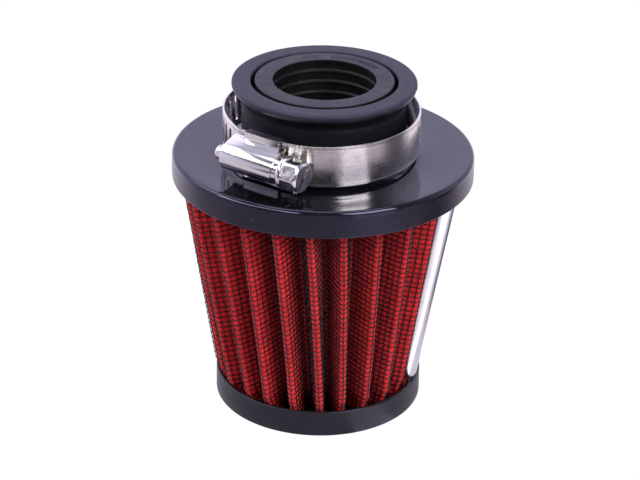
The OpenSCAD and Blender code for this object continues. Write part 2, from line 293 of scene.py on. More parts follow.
def mat_adapter():
    m, nt, b = material("moulded_adapter_rubber")
    g = G(nt)
    face = g.ramp(g.z, 0.0943, 0.09455)
    cloud = g.noise(380, 4.0, 0.6)
    deep = g.mix(g.ramp(cloud, 0.3, 0.7), (0.0014, 0.0014, 0.0018), (0.0028, 0.0027, 0.0034))
    bloom = g.mix(g.ramp(cloud, 0.3, 0.75), (0.020, 0.0187, 0.0285), (0.030, 0.028, 0.041))
    base = g.mix(face, deep, bloom)
    dust = g.ramp(g.noise(1700, 1.0, 0.5), 0.74, 0.78)
    base = g.mix(g.math("MULTIPLY", dust, 0.25), base, (0.32, 0.31, 0.35))
    g.link(base, b.inputs["Base Color"])
    g.link(g.ramp(g.noise(300, 3.0, 0.5), 0.2, 0.8, 0.46, 0.62), b.inputs["Roughness"])
    b.inputs["Specular IOR Level"].default_value = 0.25
    g.link(g.bump(g.noise(3200, 3.0, 0.6), 0.00004, 0.5), b.inputs["Normal"])
    return m


def mat_cap():
    m, nt, b = material("moulded_cap_rubber")
    g = G(nt)
    cloud = g.noise(110, 4.0, 0.55)
    base = g.mix(g.ramp(cloud, 0.3, 0.7), (0.0040, 0.0039, 0.0044), (0.0066, 0.0063, 0.0072))
    inside = g.ramp(g.radius(), 0.0283, 0.0281)
    base = g.mix(inside, base, (0.007, 0.007, 0.008))
    dust = g.ramp(g.noise(1300, 1.0, 0.5), 0.745, 0.78)
    base = g.mix(g.math("MULTIPLY", dust, 0.2), base, (0.25, 0.24, 0.27))
    g.link(base, b.inputs["Base Color"])
    b.inputs["Specular Tint"].default_value = (0.78, 0.75, 1.0, 1.0)
    g.link(g.ramp(g.noise(240, 3.0, 0.5), 0.2, 0.8, 0.30, 0.42), b.inputs["Roughness"])
    n1 = g.bump(g.noise(45, 2.0, 0.4), 0.0003, 0.35)
    g.link(g.bump(g.noise(2600, 3.0, 0.6), 0.000035, 0.5, n1), b.inputs["Normal"])
    return m


def mat_gauze():
    m, nt, b = material("dyed_cotton_gauze")
    g = G(nt)
    # threads of the gauze, about 0.35 mm apart, in two directions round the element
    ang = g.math("ARCTAN2", g.y, g.x)
    warp = g.math("SINE", g.math("MULTIPLY", g.z, 2 * math.pi / 0.00036))
    weft = g.math("SINE", g.math("MULTIPLY", ang, 520.0))
    fuzz = g.noise(5200, 3.0, 0.7)
    thread = g.math("MULTIPLY", g.math("ADD", warp, weft), 0.25)
    patch = g.noise(170, 3.0, 0.6)
    base = g.mix(g.ramp(patch, 0.3, 0.72), (0.51, 0.008, 0.012), (0.70, 0.018, 0.024))
    base = g.mix(g.ramp(fuzz, 0.45, 0.75, 0.0, 0.30), base, (0.82, 0.055, 0.060))
    # painted shade: the cotton is darkened towards the inside of the folds, standing in for the shade that falls in the
    # fold valleys
    depth = g.math("SUBTRACT", g.math("ADD", g.math("MULTIPLY", g.z, 0.16811), 0.026933), g.radius())
    base = g.mix(g.ramp(depth, 0.0010, 0.0074, 0.0, 0.36), base, (0.20, 0.003, 0.005))
    g.link(base, b.inputs["Base Color"])
    b.inputs["Roughness"].default_value = 0.72
    b.inputs["Sheen Weight"].default_value = 0.28
    b.inputs["Sheen Roughness"].default_value = 0.45
    b.inputs["Sheen Tint"].default_value = (1.0, 0.55, 0.55, 1.0)
    b.inputs["Specular IOR Level"].default_value = 0.25
    n1 = g.bump(thread, 0.00005, 0.6)
    g.link(g.bump(fuzz, 0.00009, 0.6, n1), b.inputs["Normal"])
    return m


def mat_wire(name, lo, hi, metallic, rough):
    m, nt, b = material(name)
    g = G(nt)
    c = g.noise(900, 3.0, 0.6)
    g.link(g.mix(g.ramp(c, 0.35, 0.7), lo, hi), b.inputs["Base Color"])
    b.inputs["Metallic"].default_value = metallic
    g.link(g.ramp(c, 0.3, 0.7, rough - 0.08, rough + 0.08), b.inputs["Roughness"])
    g.link(g.bump(g.noise(4000, 2.0, 0.5), 0.00002, 0.4), b.inputs["Normal"])
    return m


def mat_adhesive():
    m, nt, b = material("cast_adhesive")
    g = G(nt)
    c = g.noise(180, 4.0, 0.6)
    g.link(g.mix(g.ramp(c, 0.3, 0.7), (0.008, 0.008, 0.008), (0.020, 0.018, 0.018)), b.inputs["Base Color"])
    g.link(g.ramp(c, 0.3, 0.7, 0.35, 0.6), b.inputs["Roughness"])
    g.link(g.bump(g.noise(90, 3.0, 0.5), 0.0004, 0.6), b.inputs["Normal"])
    return m


def mat_band():
    m, nt, b = material("rolled_band_steel")
    g = G(nt)
    b.inputs["Metallic"].default_value = 1.0
    ang = g.math("ARCTAN2", g.y, g.x)
    comb = nt.nodes.new("ShaderNodeCombineXYZ")
    g.link(g.math("MULTIPLY", ang, 0.6), comb.inputs[0])
    g.link(g.math("MULTIPLY", g.z, 1000.0), comb.inputs[1])
    rolled = g.noise(3.2, 4.0, 0.6, comb.outputs[0])
    blotch = g.noise(230, 4.0, 0.65)
    scr = g.noise(1.0, 2.0, 0.5, g.scaled(900, 900, 260))
    base = g.mix(g.ramp(rolled, 0.3, 0.75), (0.57, 0.54, 0.52), (0.74, 0.712, 0.69))
    base = g.mix(g.ramp(blotch, 0.50, 0.72, 0.0, 0.40), base, (0.40, 0.365, 0.345))
    g.link(base, b.inputs["Base Color"])
    ro = g.math("ADD", g.ramp(blotch, 0.35, 0.7, 0.19, 0.30), g.math("MULTIPLY", g.math("SUBTRACT", rolled, 0.5), 0.12))
    g.link(ro, b.inputs["Roughness"])
    b.inputs["Anisotropic"].default_value = 0.65
    b.inputs["Anisotropic Rotation"].default_value = 0.25
    t = nt.nodes.new("ShaderNodeTangent")
    t.direction_type = "RADIAL"
    t.axis = "Z"
    g.link(t.outputs[0], b.inputs["Tangent"])
    n1 = g.bump(rolled, 0.00003, 0.35)
    n2 = g.bump(g.noise(60, 2.0, 0.5), 0.0002, 0.25, n1)
    g.link(g.bump(scr, 0.00002, 0.25, n2), b.inputs["Normal"])
    return m


def mat_housing():
    m, nt, b = material("pressed_housing_steel")
    g = G(nt)
    b.inputs["Metallic"].default_value = 1.0
    ca, sa = math.cos(math.radians(-35)), math.sin(math.radians(-35))
    across = g.math("ADD", g.math("MULTIPLY", g.x, sa), g.math("MULTIPLY", g.y, -ca))
    along = g.math("ADD", g.math("MULTIPLY", g.x, ca), g.math("MULTIPLY", g.y, sa))
    comb = nt.nodes.new("ShaderNodeCombineXYZ")
    g.link(g.math("MULTIPLY", along, 60.0), comb.inputs[0])
    g.link(g.math("MULTIPLY", across, 700.0), comb.inputs[1])
    g.link(g.math("MULTIPLY", g.z, 700.0), comb.inputs[2])
    drawn = g.noise(1.6, 4.0, 0.6, comb.outputs[0])
    base = g.mix(g.ramp(drawn, 0.3, 0.75), (0.72, 0.70, 0.69), (0.88, 0.865, 0.855))
    g.link(base, b.inputs["Base Color"])
    g.link(g.ramp(drawn, 0.3, 0.75, 0.09, 0.17), b.inputs["Roughness"])
    n1 = g.bump(drawn, 0.00004, 0.25)
    g.link(g.bump(g.noise(300, 3.0, 0.5), 0.00004, 0.15, n1), b.inputs["Normal"])
    return m


def mat_zinc():
    m, nt, b = material("zinc_plated_screw")
    g = G(nt)
    b.inputs["Metallic"].default_value = 1.0
    c = g.noise(420, 4.0, 0.65)
    base = g.mix(g.ramp(c, 0.3, 0.72), (0.58, 0.56, 0.55), (0.84, 0.825, 0.82))
    g.link(base, b.inputs["Base Color"])
    g.link(g.ramp(c, 0.3, 0.72, 0.12, 0.20), b.inputs["Roughness"])
    n1 = g.bump(g.noise(700, 3.0, 0.6), 0.000022, 0.45)
    g.link(g.bump(g.noise(2600, 2.0, 0.5), 0.00002, 0.3, n1), b.inputs["Normal"])
    return m


def mat_strip():
    m, nt, b = material("polished_seam_strip")
    g = G(nt)
    b.inputs["Metallic"].default_value = 1.0
    c = g.noise(1.0, 3.0, 0.55, g.scaled(520, 520, 60))
    g.link(g.mix(g.ramp(c, 0.3, 0.7), (0.86, 0.85, 0.87), (0.95, 0.945, 0.96)), b.inputs["Base Color"])
    g.link(g.ramp(c, 0.3, 0.7, 0.16, 0.28), b.inputs["Roughness"])
    g.link(g.bump(g.noise(120, 2.0, 0.5), 0.0001, 0.3), b.inputs["Normal"])
    return m


M_FLANGE, M_ADAPTER, M_CAP = mat_flange(), mat_adapter(), mat_cap()
M_GAUZE, M_ADH = mat_gauze(), mat_adhesive()
M_WIRE = mat_wire("black_coated_wire", (0.004, 0.003, 0.003), (0.014, 0.008, 0.009), 0.0, 0.46)
M_INNER = mat_wire("tinned_inner_wire", (0.25, 0.24, 0.25), (0.42, 0.41, 0.42), 0.9, 0.40)
M_BAND, M_HOUSING, M_ZINC, M_STRIP = mat_band(), mat_housing(), mat_zinc(), mat_strip()

# ------------------------------------------------------------- moulded rubber
TOTAL, LIP_R, NECK_R, SOCKET_R, FLANGE_R, FLANGE_T, FLANGE_B = 94.6, 25.1, 22.4, 20.0, 41.4, 74.1, 67.1
SKIRT_IN, SEAT_Z, LEDGE_Z, THROAT_R = 40.0, 70.6, 79.0, 16.5


def flange_profile():
    p = [(THROAT_R, SEAT_Z), (THROAT_R, LEDGE_Z - 0.35), (THROAT_R + 0.35, LEDGE_Z), (SOCKET_R - 0.2, LEDGE_Z), (SOCKET_R, LEDGE_Z + 0.2)]
    p += [(SOCKET_R, z) for z in np.linspace(80.5, TOTAL - 0.5, 8)]
    p += [(SOCKET_R + 0.42 * (1 - math.cos(a)), TOTAL - 0.42 + 0.42 * math.sin(a)) for a in np.linspace(0.3, math.pi / 2, 5)]
    p += [(r, TOTAL) for r in np.linspace(SOCKET_R + 0.9, LIP_R - 1.1, 6)]
    p += [(LIP_R - 0.75 + 0.75 * math.sin(a), TOTAL - 0.75 * (1 - math.cos(a))) for a in np.linspace(0, math.pi / 2, 8)]
    p += [(LIP_R, TOTAL - 1.0)]
    p += [(LIP_R - 0.3 * (1 - math.cos(a)), TOTAL - 1.2 - 0.3 * math.sin(a)) for a in np.linspace(0, math.pi / 2, 5)]
    p += [(NECK_R + (LIP_R - 0.3 - NECK_R) * (1 - t * t * (3 - 2 * t)), TOTAL - 1.5 - 3.9 * t) for t in np.linspace(0.06, 1, 16)]
    p += [(NECK_R, z) for z in np.linspace(88.6, 79.6, 7)]
    p += [(NECK_R + 8.4 * u, FLANGE_T + 3.7 * (1 - u) ** 4) for u in np.linspace(0, 1, 30)]
    p += [(r, FLANGE_T) for r in np.linspace(31.5, FLANGE_R - 1.6, 9)]
    p += [(FLANGE_R - 1.15 * (1 - math.sin(a)), FLANGE_T - 1.15 * (1 - math.cos(a))) for a in np.linspace(0, math.pi / 2, 14)]
    p += [(FLANGE_R, z) for z in np.linspace(72.2, FLANGE_B + 0.6, 5)]
    p += [(FLANGE_R - 0.5 + 0.5 * math.cos(a), FLANGE_B + 0.5 - 0.5 * math.sin(a)) for a in np.linspace(0.2, math.pi / 2, 6)]
    p += [(SKIRT_IN + 0.25, FLANGE_B), (SKIRT_IN + 0.07, FLANGE_B + 0.07), (SKIRT_IN, FLANGE_B + 0.25), (SKIRT_IN, 69.0), (SKIRT_IN, SEAT_Z)]
    p += [(r, SEAT_Z) for r in np.linspace(36.0, 20.0, 4)]
    return np.array(p)


def flange_wobble(r, z, th):
    """Moulding and handling leave the rubber a little out of true."""
    dr = 0.05 * np.sin(3 * th + 0.8) + 0.03 * np.sin(7 * th + 2.0) if r > 38 else 0 * th
    dz = 0.04 * np.sin(2 * th + 1.1) + 0.025 * np.sin(5 * th) if 31 < r < 41.3 and z > 72 else 0 * th
    up = 0 * th
    if 31 < r and 71 < z < 75:
        # the flange's rim stands a little higher at the front
        up = 0.75 * np.clip(-np.sin(th), 0, 1) ** 1.5 * min(1.0, (r - 31) / 8) * min(1.0, (z - 71) / 1.5)
    if z > TOTAL - 1.5 and r > 24.0:
        # a small nick in the lip's edge, at the right
        d = (th - math.radians(-11) + math.pi) % (2 * math.pi) - math.pi
        dr = dr - 0.45 * np.exp(-((d / 0.022) ** 2)) * (1 if z < TOTAL - 0.2 else 0.5)
    return -np.abs(dr) if r > 38 or z > 90 else dr, up - np.abs(dz)


V, F = lathe(flange_profile(), 224, flange_wobble)
make("flange_and_neck", V, F, M_FLANGE, rep=["top_flange"], angle=42)


def adapter_profile():
    R, B, P = 18.85, 14.0, 3.2
    p = [(B + 0.16 * (1 - math.cos(a)), TOTAL - 0.16 + 0.16 * math.sin(a)) for a in np.linspace(0, math.pi / 2, 5)]
    p += [(r, TOTAL) for r in np.linspace(B + 0.6, R - 0.6, 6)]
    p += [(R - 0.2 + 0.2 * math.sin(a), TOTAL - 0.2 * (1 - math.cos(a))) for a in np.linspace(0, math.pi / 2, 5)]
    p += [(R, TOTAL - 2.0), (R, TOTAL - 4.2)]
    for i in range(3):
        z = TOTAL - 4.2 - i * 3.6
        p += [(R + 0.55, z - 0.35), (R + 0.95, z - 0.75), (R + 1.05, z - 1.0), (R + 1.05, z - 1.5), (R + 0.9, z - 1.7), (R + 0.3, z - 1.9), (R, z - 2.1), (R, z - 3.2)]
    p += [(R, LEDGE_Z + 0.35), (R - 0.1, LEDGE_Z + 0.1), (R - 0.35, LEDGE_Z), (B + 0.2, LEDGE_Z), (B, LEDGE_Z + 0.2)]
    for i in range(4, 0, -1):
        z = TOTAL - i * P
        p += [(B, z - 0.42), (B + 0.02, z - 0.02), (B + 0.12, z + 0.16), (B + 0.30, z + 0.32), (B + 0.45, z + 0.46), (B + 0.45, z + 1.2), (B + 0.45, z + P - 0.72), (B + 0.32, z + P - 0.60), (B + 0.1, z + P - 0.50)]
    p += [(B, TOTAL - 0.9), (B, TOTAL - 0.4)]
    return np.array(p)


V, F = lathe(adapter_profile(), 192)
F = [f[:, ::-1] if len(f) else f for f in F]
adapter = make("adapter", V, F, M_ADAPTER, rep=["adapter_ring"], angle=42)


def bar(cx, cy, w, l, h, az, z0):
    """A small raised bar with sloping sides: w across, l along the radius."""
    e = 0.09
    pts = []
    for s, zz in ((0.0, z0 - 0.15), (0.0, z0 + 0.02), (e * 0.5, z0 + h * 0.8), (e, z0 + h)):
        for q in ((-1, -1), (1, -1), (1, 1), (-1, 1)):
            pts.append((q[0] * (w / 2 - s), q[1] * (l / 2 - s), zz))
    pts = np.array(pts)
    ca, sa = math.cos(az), math.sin(az)
    X = cx + pts[:, 0] * ca - pts[:, 1] * sa
    Y = cy + pts[:, 0] * sa + pts[:, 1] * ca
    V = np.stack([X, Y, pts[:, 2]], -1)
    F = []
    for r in range(3):
        for i in range(4):
            F.append([r * 4 + i, r * 4 + (i + 1) % 4, (r + 1) * 4 + (i + 1) % 4, (r + 1) * 4 + i])
    F.append([3, 2, 1, 0])
    F.append([12, 13, 14, 15])
    return V, np.array(F)


def mould_ticks():
    """Plain raised ticks on the adapter's face, at the back."""
    Vs, Fs, k = [], [], 0
    # azimuth from the back towards the right, width across, length, radius
    spots = [(-20.0 + 3.6 * i, 0.5, 1.6) for i in range(4)]
    spots += [(7.0 + 3.6 * i, 0.5, 1.6) for i in range(15)]
    for a, w, l in spots:
        t = math.radians(90 - a)
        R = 16.5
        V, F = bar(R * math.cos(t), R * math.sin(t), w, l, 0.18, t - math.pi / 2, TOTAL)
        Vs.append(V)
        Fs.append(F + k)
        k += len(V)
    return np.concatenate(Vs), [np.concatenate(Fs)]


V, F = mould_ticks()
make("adapter_ticks", V, F, M_ADAPTER, angle=30)

CAP_R, CAP_H, CAP_W, CAP_F = 28.9, 7.6, 1.0, 1.6
prof = [(0, 0)] + [(r, 0.0) for r in (6, 12, 18, 24, 27)]
prof += [(28.0, 0.0)] + [(CAP_R - 0.5 * (1 - math.sin(a)), 0.5 * (1 - math.cos(a))) for a in np.linspace(0, math.pi / 2, 7)]
prof += [(CAP_R, z) for z in np.linspace(2.2, CAP_H - 0.5, 5)]
prof += [(CAP_R - 0.3 + 0.3 * math.cos(a), CAP_H - 0.3 + 0.3 * math.sin(a)) for a in np.linspace(0, math.pi / 2, 5)]
prof += [(CAP_R - CAP_W + 0.2 - 0.2 * math.sin(a), CAP_H - 0.2 + 0.2 * math.cos(a)) for a in np.linspace(0, math.pi / 2, 4)]
prof += [(CAP_R - CAP_W, 5.5), (CAP_R - CAP_W, 3.5), (CAP_R - CAP_W, CAP_F), (20, CAP_F), (10, CAP_F), (0, CAP_F)]


def cap_wobble(r, z, th):
    dr = 0.10 * np.sin(2 * th + 0.5) + 0.05 * np.sin(5 * th + 1.0) if z > 4 else 0 * th
    dz = 0.06 * np.sin(3 * th + 0.4) + 0.04 * np.sin(8 * th) if z > 7 else 0 * th
    # the cup sits a little to the left
    return (0.12 - 0.33 * np.cos(th) if r > 26 else 0 * th) - np.abs(dr), -np.abs(dz)


V, F = lathe(prof, 192, cap_wobble)
F = [f[:, ::-1] if len(f) else f for f in F]
make("end_cap", V, F, M_CAP, rep=["bottom_cap"], angle=42)

# ------------------------------------------------------------ pleated element
PZ = np.array([3.0, 7.4, 9.2, 69.4])
PR = np.array([27.2, 27.5, 28.48, 38.6])
PV = np.array([18.6, 19.2, 20.19, 30.0])
PDX, NP, SEAM = -1.1, 25, 8
AZT = np.array([-48, -32.2, -17.9, -3.5, 10.3, 25.9, 41.3, 59.3, 77, 90.5, 104, 118, 131.5, 145, 159, 172.5, 186, 200, 213.5, 227, 241, 254.5, 268, 281.5, 295.1])
AZB = np.array([-42, -28.4, -12.3, 3.5, 16.5, 31.5, 45.5, 61.5, 73, 88, 102, 116.5, 131, 145, 159.5, 173.5, 188, 202.5, 216.5, 231, 245.5, 259.5, 274, 288, 301.8])
RADJ = np.array([-1.2 if k == 9 else -0.8 if k == 10 else -0.3 if k == 11 else 0.22 * math.sin(math.radians(137 * k + 20)) for k in range(NP)])
CR = np.full(NP, 1.25)
VB = 0.35


def dirv(a):
    a = np.radians(a)
    return np.stack([np.sin(a), -np.cos(a)], -1)


def rot(v, a):
    c, s = np.cos(a), np.sin(a)
    return np.stack([v[..., 0] * c - v[..., 1] * s, v[..., 0] * s + v[..., 1] * c], -1)


def turn_of(v, w):
    return np.arctan2(v[..., 0] * w[..., 1] - v[..., 1] * w[..., 0], (v * w).sum(-1))


def pleat_ring(z, fr, t=0.0):
    """Points of the pleated path at height z, at fractions fr of each pleat from crest to crest."""
    k = np.arange(NP + 1)
    kk = k % NP
    f = (z - PZ[0]) / (PZ[3] - PZ[0])
    az = AZB[kk] + (AZT[kk] - AZB[kk]) * f + 360.0 * (k // NP)
    azv = (az[:-1] + az[1:]) / 2
    r = np.interp(z, PZ, PR)
    rv = np.interp(z, PZ, PV)
    # the crest leans a little to and fro along its length
    cp = (r + RADJ[kk] - CR[kk])[:, None] * dirv(az)
    cv = (rv + VB) * dirv(azv)

    def normal(c, v, cr, s):
        d = v - c
        L = np.linalg.norm(d, axis=-1)
        b = np.arccos((cr + VB) / L)
        return rot(d / L[:, None], -b if s > 0 else b)

    nr = normal(cp[:-1], cv, CR[kk[:-1]], 1)
    nl = normal(cp[1:], cv, CR[kk[1:]], -1)
    e0, e1 = dirv(az[:-1]), dirv(az[1:])
    br, bl = turn_of(e0, nr), turn_of(e1, nl)
    ev = -dirv(azv)
    v0, v1 = turn_of(ev, -nr), turn_of(ev, -nl)
    q = np.linspace(0, 1, 9)
    segs = []
    for j in q:
        segs.append(cp[:-1] + (CR[kk[:-1]] - t)[:, None] * rot(e0, j * br))
    for j in np.linspace(0, 1, 9):
        segs.append(cv + (VB + t) * rot(ev, v0 + (v1 - v0) * j))
    for j in q:
        segs.append(cp[1:] + (CR[kk[1:]] - t)[:, None] * rot(e1, (1 - j) * bl))
    S = np.stack(segs, 1)
    out = np.empty((NP, len(fr), 2))
    for i in range(NP):
        L = np.concatenate([[0], np.cumsum(np.linalg.norm(np.diff(S[i], axis=0), axis=1))])
        s = np.asarray(fr) * L[-1]
        out[i, :, 0] = np.interp(s, L, S[i][:, 0])
        out[i, :, 1] = np.interp(s, L, S[i][:, 1])
    out = out.reshape(-1, 2)
    out[:, 0] += PDX
    return out


ZT = np.concatenate([np.linspace(3.0, 12.0, 25), np.linspace(13.0, 69.4, 58)])


class Table:
    """The pleated path at many heights, to be read at any height."""

    def __init__(self, m, t):
        fr = np.arange(m) / m
        self.P = np.stack([pleat_ring(z, fr, t) for z in ZT])
        T = np.roll(self.P, -1, 1) - np.roll(self.P, 1, 1)
        T /= np.linalg.norm(T, axis=-1, keepdims=True)
        self.N = np.stack([T[..., 1], -T[..., 0]], -1)

    def at(self, z):
        """z has one height for each column of the table."""
        z = np.clip(z, ZT[0], ZT[-1])
        i = np.clip(np.searchsorted(ZT, z, "right") - 1, 0, len(ZT) - 2)
        f = ((z - ZT[i]) / (ZT[i + 1] - ZT[i]))[:, None]
        c = np.arange(self.P.shape[1])
        P = self.P[i, c] * (1 - f) + self.P[i + 1, c] * f
        N = self.N[i, c] * (1 - f) + self.N[i + 1, c] * f
        return P, N / np.linalg.norm(N, axis=-1, keepdims=True)

    def row(self, zc):
        """A line across the folds that starts at height zc on the crests: it climbs towards the valleys, square to the fold lines."""
        P, _ = self.at(np.full(self.P.shape[1], zc))
        depth = np.interp(zc, PZ, PR) - np.hypot(P[:, 0] - PDX, P[:, 1])
        z = np.clip(zc + 0.06 * depth, ZT[0], ZT[-1])
        P, N = self.at(z)
        return np.concatenate([P, z[:, None]], 1), np.concatenate([N, np.zeros((len(N), 1))], 1)


def tubes(paths, normals, radius, sides, closed):
    """Thin round wires along paths (n, points, 3)."""
    if closed:
        T = np.roll(paths, -1, 1) - np.roll(paths, 1, 1)
    else:
        T = np.gradient(paths, axis=1)
    T /= np.linalg.norm(T, axis=-1, keepdims=True)
    N = normals - (normals * T).sum(-1, keepdims=True) * T
    N /= np.linalg.norm(N, axis=-1, keepdims=True)
    B = np.cross(T, N)
    th = np.arange(sides) * 2 * math.pi / sides + math.pi / sides
    V = paths[:, :, None, :] + radius * (np.cos(th)[None, None, :, None] * N[:, :, None, :] + np.sin(th)[None, None, :, None] * B[:, :, None, :])
    n, m = paths.shape[:2]
    F = [grid_faces(m, sides, wrap_r=closed, wrap_c=True, base=i * m * sides) for i in range(n)]
    F = [np.concatenate(F)]
    if not closed:
        a = np.arange(sides)
        caps = []
        for i in range(n):
            o = i * m * sides
            caps.append(o + a[::-1])
            caps.append(o + (m - 1) * sides + a)
        F.append(np.array(caps))
    return V.reshape(-1, 3), F


PITCH = 1.556
NW = 11
WIRE_R, WEAVE, WIRE_D = 0.125, 0.085, 0.14
zc_rows = np.arange(3.1, 69.3, PITCH)
nrow = len(zc_rows)


def over(i, j):
    """Which way a ring wire i passes an upright j: the pattern starts and ends under the seam strip."""
    return np.where((i + (j - SEAM * NW) % (NP * NW)) % 2 == 0, 1.0, -1.0)


SUB = 3
tab = Table(SUB * NW, WIRE_D)
rings_P, rings_N = [], []
for i, zc in enumerate(zc_rows):
    P, N = tab.row(zc)
    c = np.arange(P.shape[0])
    f = (c % SUB) / SUB
    j0 = c // SUB
    w = (1 - np.cos(f * math.pi)) / 2
    sgn = over(i, j0) * (1 - w) + over(i, (j0 + 1) % (NP * NW)) * w
    kn = rng.normal(0, 0.075, NP * 2 + 1)
    kn[-1] = kn[0]
    drift = np.interp(c, np.linspace(0, len(c), len(kn)), kn)
    P = P + WEAVE * sgn[:, None] * N
    P[:, 2] = np.clip(P[:, 2] + drift, 3.0, 69.35)
    rings_P.append(P)
    rings_N.append(N)
rings_P, rings_N = np.stack(rings_P), np.stack(rings_N)
h = nrow // 2
for nm, a, b in (("outer_net_rings_low", 0, h), ("outer_net_rings_high", h, nrow)):
    V, F = tubes(rings_P[a:b], rings_N[a:b], WIRE_R, 4, True)
    make(nm, V, F, M_WIRE, rep=["outer_mesh"] if a == 0 else ())

tabw = Table(NW, WIRE_D)
up_P, up_N = [], []
side = rng.normal(0, 1, (NP * NW, 7))
for i, zc in enumerate(zc_rows):
    P, N = tabw.row(zc)
    c = np.arange(P.shape[0])
    P = P - WEAVE * over(i, c)[:, None] * N
    # the uprights wander a little to the side on their way up
    q = i / (nrow - 1) * 6
    a, fr = int(min(q, 5)), q - int(min(q, 5))
    d = (side[:, a] * (1 - fr) + side[:, a + 1] * fr) * 0.07
    T = np.stack([-N[:, 1], N[:, 0], 0 * N[:, 0]], -1)
    P = P + d[:, None] * T
    up_P.append(P)
    up_N.append(N)
up_P, up_N = np.stack(up_P, 1), np.stack(up_N, 1)
V, F = tubes(up_P, up_N, WIRE_R, 4, False)
make("outer_net_uprights", V, F, M_WIRE)

# the gauze stands proud in each cell of the net and is held back under its wires
tabg = Table(SUB * NW, 0.34)
gz = np.sort(np.concatenate([zc_rows, zc_rows[:-1] + PITCH / 2]))
rows = []
lump = rng.normal(0, 0.02, (len(gz), NP * SUB * NW))
for i, zc in enumerate(gz):
    P, N = tabg.row(zc)
    c = np.arange(P.shape[0])
    mid_z = abs(((zc - zc_rows[0]) / PITCH + 0.5) % 1.0 - 0.5) * 2
    mid_c = (c % SUB != 0).astype(float)
    out = 0.15 * mid_z * mid_c + 0.03 * (mid_z + mid_c) - 0.03
    rows.append(P + (out + lump[i])[:, None] * N)
inner_rows = []
tabi = Table(SUB * NW, 0.80)
for zc in gz[::-1][:: max(1, len(gz) // 6)]:
    P, N = tabi.row(zc)
    inner_rows.append(P)
P, N = tabi.row(gz[0])
inner_rows.append(P)
R = np.stack(rows + inner_rows)
V = R.reshape(-1, 3)
F = grid_faces(R.shape[0], R.shape[1], wrap_r=True, wrap_c=True)
make("cotton_gauze", V, [F], M_GAUZE, rep=["gauze_media"])

# inner net, wider spaced
NI, PI_ = 8, 2.6
zi = np.arange(3.3, 69.3, PI_)
tabn = Table(2 * NI, 0.96)
rp, rn = [], []
for i, zc in enumerate(zi):
    P, N = tabn.row(zc)
    c = np.arange(P.shape[0])
    sgn = np.where(c % 2 == 1, 0.0, np.where((i + c // 2) % 2 == 0, 1.0, -1.0))
    rp.append(P + 0.045 * sgn[:, None] * N)
    rn.append(N)
V1, F1 = tubes(np.stack(rp), np.stack(rn), 0.08, 3, True)
tabn = Table(NI, 0.96)
rp, rn = [], []
for i, zc in enumerate(zi):
    P, N = tabn.row(zc)
    c = np.arange(P.shape[0])
    sgn = np.where((i + c) % 2 == 0, -1.0, 1.0)
    rp.append(P + 0.045 * sgn[:, None] * N)
    rn.append(N)
V2, F2 = tubes(np.stack(rp, 1), np.stack(rn, 1), 0.08, 3, False)
V = np.concatenate([V1, V2])
F = [F1[0]] + [f + len(V1) for f in F2]
make("inner_net", V, F, M_INNER, rep=["inner_mesh"])


# seam strip, folded over the crest of the seam's pleat
def seam_section(z, s, t):
    """Points at distances s along the outside of the seam's crest, at depth t."""
    f = (z - PZ[0]) / (PZ[3] - PZ[0])
    k = SEAM
    az = AZB[k] + (AZT[k] - AZB[k]) * f
    azl = (az + AZB[k - 1] + (AZT[k - 1] - AZB[k - 1]) * f) / 2
    azr = (az + AZB[k + 1] + (AZT[k + 1] - AZB[k + 1]) * f) / 2
    r, rv = np.interp(z, PZ, PR), np.interp(z, PZ, PV)
    c = (r + RADJ[k] - CR[k]) * dirv(az)
    e = dirv(az)
    out = []
    for side, av in ((-1, azl), (1, azr)):
        v = (rv + VB) * dirv(av)
        d = v - c
        L = np.linalg.norm(d)
        b = math.acos((CR[k] + VB) / L)
        n = rot(d / L, -b if side > 0 else b)
        tot = abs(float(turn_of(e, n)))
        for q in s:
            if (q < 0) != (side < 0) or (q == 0 and side < 0):
                continue
            w = abs(q) / (CR[k] + 0.5)
            if w <= tot:
                out.append((q, c + (CR[k] - t) * rot(e, side * w)))
            else:
                p = c + (CR[k] - t) * n
                along = v - VB * n - c - CR[k] * n
                along = along / np.linalg.norm(along)
                out.append((q, p + along * (w - tot) * (CR[k] + 0.5)))
    out.sort(key=lambda x: x[0])
    return np.array([p for _, p in out]) + np.array([PDX, 0.0])


def seam_strip():
    zs = np.concatenate([8.0 + 3.6 * (1 - np.cos(np.linspace(0.1, math.pi / 2, 12))), np.linspace(12.6, 69.25, 40)])
    m = 17
    outer, inner = [], []
    for z in zs:
        full = 3.7
        h = full * math.sqrt(max(1 - ((11.6 - z) / 3.65) ** 2, 0.006)) if z < 11.6 else full
        s = h * np.linspace(-1.2, 1, m)
        edge = np.clip((np.abs(np.linspace(-1, 1, m)) - 0.86) / 0.14, 0, 1)
        for lst, t in ((outer, -1.15), (inner, -0.62)):
            A = seam_section(z, s, t)
            B = seam_section(z, s, t + (0.16 if lst is outer else -0.08))
            w = edge[:, None]
            P = A * (1 - w) + B * w
            lst.append(np.concatenate([P, np.full((m, 1), z)], 1))
    O, I = np.stack(outer), np.stack(inner)
    nz = len(zs)
    V = np.concatenate([O.reshape(-1, 3), I.reshape(-1, 3)])
    k = nz * m
    F = [grid_faces(nz, m, False, False), grid_faces(nz, m, False, False, k)[:, ::-1]]
    E = []
    for r in range(nz - 1):
        E.append([r * m, (r + 1) * m, k + (r + 1) * m, k + r * m])
        E.append([r * m + m - 1, k + r * m + m - 1, k + (r + 1) * m + m - 1, (r + 1) * m + m - 1])
    for c in range(m - 1):
        E.append([c, k + c, k + c + 1, c + 1])
        o = (nz - 1) * m
        E.append([o + c, o + c + 1, k + o + c + 1, k + o + c])
    return V, F + [np.array(E)]


V, F = seam_strip()
make("seam_strip", V, F, M_STRIP, rep=["seam_clip"], angle=50)

# ------------------------------------------------------------------ the clamp
CAZ = math.radians(-35 - 90)
CC = np.array([-0.57, -0.6, 81.1])


